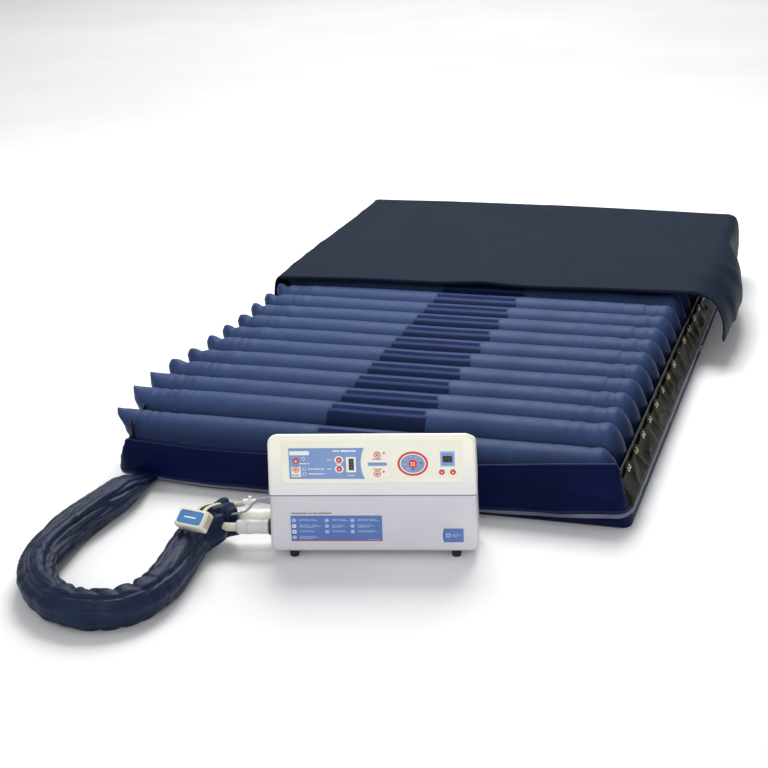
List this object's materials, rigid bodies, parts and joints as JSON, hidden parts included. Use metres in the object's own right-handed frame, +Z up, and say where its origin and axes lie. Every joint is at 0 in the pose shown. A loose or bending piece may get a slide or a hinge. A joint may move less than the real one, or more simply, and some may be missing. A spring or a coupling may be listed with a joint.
{
  "type": "pressure relief mattress",
  "caption": "Low air loss pressure relief mattress: transverse air cells in a zipped cover, folded top cover, and a blower unit on a sleeved hose.",
  "frame": {"origin": "centre of the mattress underside, on the surface it lies on", "axes": "+X across the bed to the right seen from the foot end, +Y towards the head end, +Z up"},
  "size_m": [1.317, 2.7919, 0.282],
  "materials": {
    "cell_nylon": "satin coated nylon",
    "cover_navy": "satin coated nylon",
    "cover_slate": "soft satin coated stretch fabric",
    "retainer_black": "glossy coated nylon",
    "snap_metal": "polished",
    "zip_tape": "woven tape",
    "zip_metal": "satin",
    "base_pad": "coated nylon over foam",
    "tubing": "smooth",
    "sleeve_navy": "gathered woven nylon",
    "cable_grey": "smooth",
    "tether": "smooth",
    "cap_cream": "moulded",
    "case_cream": "soft gloss moulded",
    "case_grey": "fine moulded texture",
    "panel_print": "printed overlay",
    "ring_print": "printed ring",
    "key_red": "gloss",
    "display_dark": "clear window over dark glass",
    "lamp_dark": "clear lens",
    "label_blue": "printed label",
    "foot_rubber": "matt",
    "dark_plastic": "moulded",
    "coupler_grey": "moulded",
    "inlet_black": "moulded",
    "hook_metal": "black coating",
    "inner_grey": "moulded",
    "rotor_white": "moulded",
    "board_green": "lacquered board"
  },
  "bodies": {
    "mattress_and_unit": {"air_cell_01": "cell_nylon", "air_cell_02": "cell_nylon", "air_cell_03": "cell_nylon", "air_cell_04": "cell_nylon", "air_cell_05": "cell_nylon", "air_cell_06": "cell_nylon", "air_cell_07": "cell_nylon", "air_cell_08": "cell_nylon", "air_cell_09": "cell_nylon", "air_cell_10": "cell_nylon", "air_cell_11": "cell_nylon", "covered_air_cells": "cell_nylon", "support_base": "base_pad", "base_cover": "cover_navy", "cell_retainer_left": "retainer_black", "cell_retainer_right": "retainer_black", "snap_fasteners": "snap_metal", "zip_track": "zip_tape", "top_cover": "cover_slate", "air_manifold": "tubing", "hose_sleeve": "sleeve_navy", "air_hoses": "tubing", "pressure_tubes": "tubing", "sensor_cable": "cable_grey", "sensor_plug": "cable_grey", "transport_cap": "cap_cream", "cap_tether": "tether", "upper_case": "case_cream", "lower_case": "case_grey", "rear_cover": "case_grey", "control_panel": "panel_print", "dial_ring": "ring_print", "displays": "display_dark", "indicator_lamps": "lamp_dark", "front_labels": "label_blue", "pump_feet": "foot_rubber", "hose_ports": "dark_plastic", "coupler_front": "coupler_grey", "coupler_rear": "coupler_grey", "small_coupler": "coupler_grey", "mains_inlet": "inlet_black", "blower_housing": "inner_grey", "valve_body": "inner_grey", "circuit_board": "board_green"},
    "key_silence": {"key_silence": "key_red"},
    "key_power": {"key_power": "key_red"},
    "key_firmer": {"key_firmer": "key_red"},
    "key_softer": {"key_softer": "key_red"},
    "key_mode": {"key_mode": "key_red"},
    "key_turn": {"key_turn": "key_red"},
    "key_dial": {"key_dial": "key_red"},
    "key_timer_down": {"key_timer_down": "key_red"},
    "key_timer_up": {"key_timer_up": "key_red"},
    "rocker": {"rocker_switch": "inlet_black"},
    "hook_left": {"bed_hook_left": "hook_metal"},
    "hook_right": {"bed_hook_right": "hook_metal"},
    "impeller": {"blower_impeller": "rotor_white"},
    "valve_rotor": {"valve_disc": "rotor_white"},
    "slider": {"zip_slider": "zip_metal"},
    "slider_pull": {"zip_pull": "zip_metal"}
  },
  "joints": [
    {"name": "key_silence_press", "type": "slide", "parent": "mattress_and_unit", "child": "key_silence", "axis": [-0.2334, 0.9724, 0], "range_m": [0, 0.0006], "stiffness_N_per_m": 400, "springref_m": -0.0004},
    {"name": "key_power_press", "type": "slide", "parent": "mattress_and_unit", "child": "key_power", "axis": [-0.2334, 0.9724, 0], "range_m": [0, 0.0006], "stiffness_N_per_m": 400, "springref_m": -0.0004},
    {"name": "key_firmer_press", "type": "slide", "parent": "mattress_and_unit", "child": "key_firmer", "axis": [-0.2334, 0.9724, 0], "range_m": [0, 0.0006], "stiffness_N_per_m": 400, "springref_m": -0.0004},
    {"name": "key_softer_press", "type": "slide", "parent": "mattress_and_unit", "child": "key_softer", "axis": [-0.2334, 0.9724, 0], "range_m": [0, 0.0006], "stiffness_N_per_m": 400, "springref_m": -0.0004},
    {"name": "key_mode_press", "type": "slide", "parent": "mattress_and_unit", "child": "key_mode", "axis": [-0.2334, 0.9724, 0], "range_m": [0, 0.0006], "stiffness_N_per_m": 400, "springref_m": -0.0004},
    {"name": "key_turn_press", "type": "slide", "parent": "mattress_and_unit", "child": "key_turn", "axis": [-0.2334, 0.9724, 0], "range_m": [0, 0.0006], "stiffness_N_per_m": 400, "springref_m": -0.0004},
    {"name": "key_dial_press", "type": "slide", "parent": "mattress_and_unit", "child": "key_dial", "axis": [-0.2334, 0.9724, 0], "range_m": [0, 0.0006], "stiffness_N_per_m": 400, "springref_m": -0.0004},
    {"name": "key_timer_down_press", "type": "slide", "parent": "mattress_and_unit", "child": "key_timer_down", "axis": [-0.2334, 0.9724, 0], "range_m": [0, 0.0006], "stiffness_N_per_m": 400, "springref_m": -0.0004},
    {"name": "key_timer_up_press", "type": "slide", "parent": "mattress_and_unit", "child": "key_timer_up", "axis": [-0.2334, 0.9724, 0], "range_m": [0, 0.0006], "stiffness_N_per_m": 400, "springref_m": -0.0004},
    {"name": "rocker_turn", "type": "hinge", "parent": "mattress_and_unit", "child": "rocker", "pos_m": [-0.01188, -1.18185, 0.062], "axis": [-0.9724, -0.2334, 0], "range_deg": [0, 14]},
    {"name": "hook_left_fold", "type": "hinge", "parent": "mattress_and_unit", "child": "hook_left", "pos_m": [-0.05335, -1.1805, 0.15], "axis": [-0.9724, -0.2334, 0], "range_deg": [0, 90]},
    {"name": "hook_right_fold", "type": "hinge", "parent": "mattress_and_unit", "child": "hook_right", "pos_m": [0.21892, -1.11513, 0.15], "axis": [-0.9724, -0.2334, 0], "range_deg": [0, 90]},
    {"name": "impeller_spin", "type": "hinge", "parent": "mattress_and_unit", "child": "impeller", "pos_m": [0.16766, -1.20148, 0.04], "axis": [0, 0, 1], "continuous": true},
    {"name": "valve_spin", "type": "hinge", "parent": "mattress_and_unit", "child": "valve_rotor", "pos_m": [-0.00643, -1.24739, 0.04], "axis": [0, 0, 1], "continuous": true},
    {"name": "zip_slide", "type": "slide", "parent": "mattress_and_unit", "child": "slider", "axis": [0, 1, 0], "range_m": [-1.06, 0]},
    {"name": "pull_swing", "type": "hinge", "parent": "slider", "child": "slider_pull", "pos_m": [0.6202, 0.12, 0.047], "axis": [0, -1, 0], "range_deg": [0, 110]}
  ]
}
